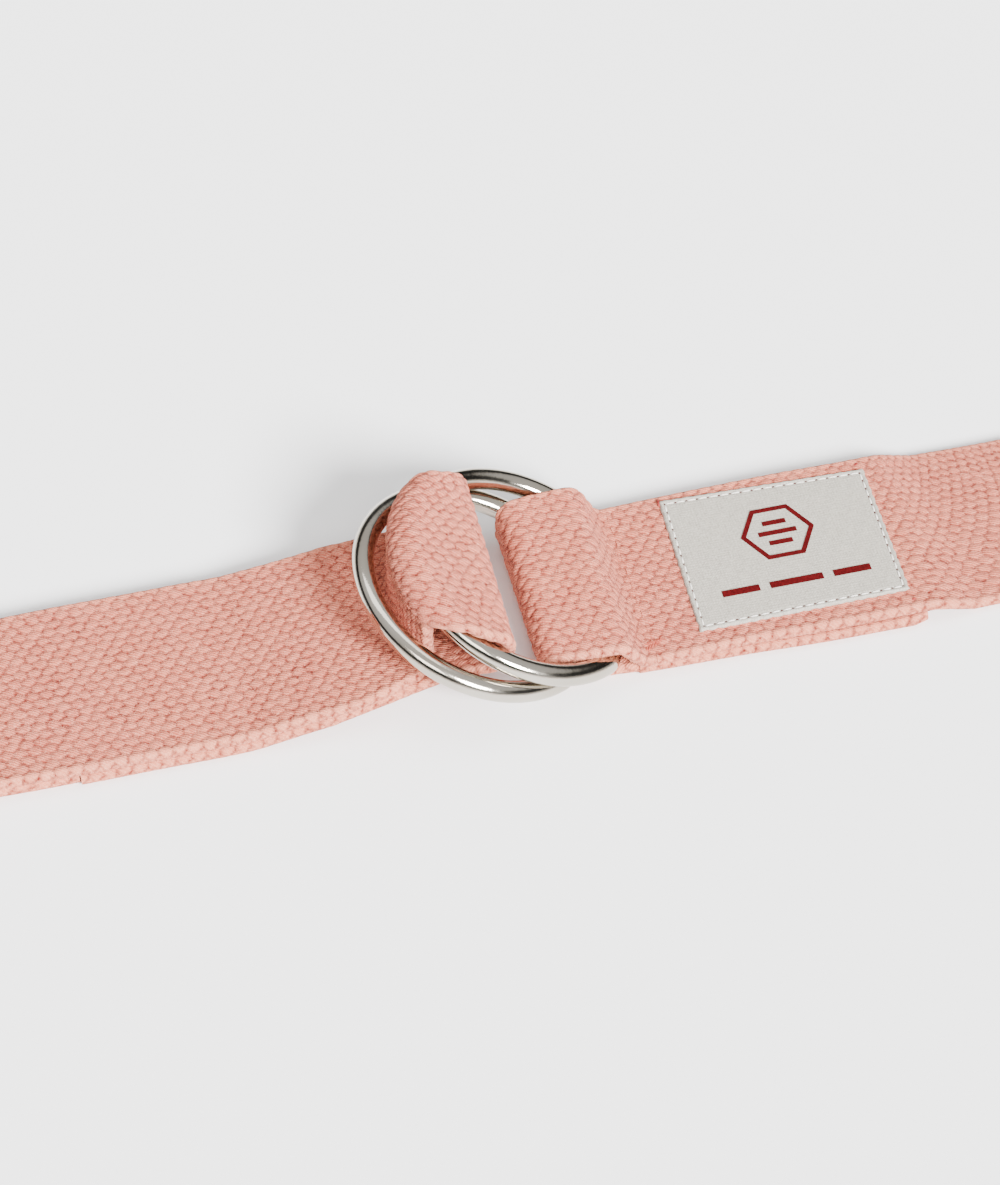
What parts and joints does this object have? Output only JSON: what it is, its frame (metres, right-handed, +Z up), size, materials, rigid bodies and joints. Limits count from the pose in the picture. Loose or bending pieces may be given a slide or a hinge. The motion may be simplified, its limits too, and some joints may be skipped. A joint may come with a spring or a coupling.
{
  "type": "stretching strap",
  "caption": "Long woven cotton strap with D-rings sewn into a pocket at one end; its free end is threaded back through the rings to form an adjustable loop.",
  "frame": {"origin": "on the resting plane under the middle of the label, on the centre line of the strap", "axes": "+X along the strap from the rings towards the sewn label, +Z up, +Y across the strap"},
  "size_m": [0.3699, 0.2087, 0.0449],
  "materials": {
    "webbing": "plain woven cotton",
    "thread": "polyester sewing thread",
    "dark_thread": "polyester sewing thread",
    "label_satin": "woven satin",
    "label_thread": "polyester sewing thread",
    "motif_thread": "woven satin",
    "ring_steel": "bright nickel plate"
  },
  "bodies": {
    "strap": {"ring_pocket": "webbing", "fold_under": "webbing", "label_run": "webbing", "main_run": "webbing", "leg_right": "webbing", "leg_near": "webbing", "leg_left": "webbing", "corner_folds": "webbing", "load_run": "webbing", "load_rise": "webbing", "tail_rise": "webbing", "tail_run": "webbing", "tail_bridge": "webbing", "tail_floor": "webbing", "tail_roll": "webbing", "tail_hem": "webbing", "hem_thread": "thread", "seam_thread": "thread", "fold_end_thread": "thread", "back_tack": "dark_thread", "label": "label_satin", "label_thread": "label_thread", "label_motif": "motif_thread"},
    "outer_ring": {"outer_ring": "ring_steel"},
    "inner_ring": {"inner_ring": "ring_steel", "ring_wrap": "webbing"}
  },
  "joints": [
    {"name": "outer_ring_lift", "type": "hinge", "parent": "strap", "child": "outer_ring", "pos_m": [-0.0458, -0.00119, 0.00555], "axis": [0, 0.9969, 0.0785], "range_deg": [0, 30], "deforming": ["tail_rise"]},
    {"name": "inner_ring_lift", "type": "hinge", "parent": "strap", "child": "inner_ring", "pos_m": [-0.03749, -0.00025, 0.00613], "axis": [0, 0.9969, 0.0785], "range_deg": [0, 27.6], "deforming": ["load_rise", "tail_rise"]}
  ],
  "couplings": [
    {"joint": "inner_ring_lift", "follows": "outer_ring_lift", "ratio": 0.92}
  ]
}
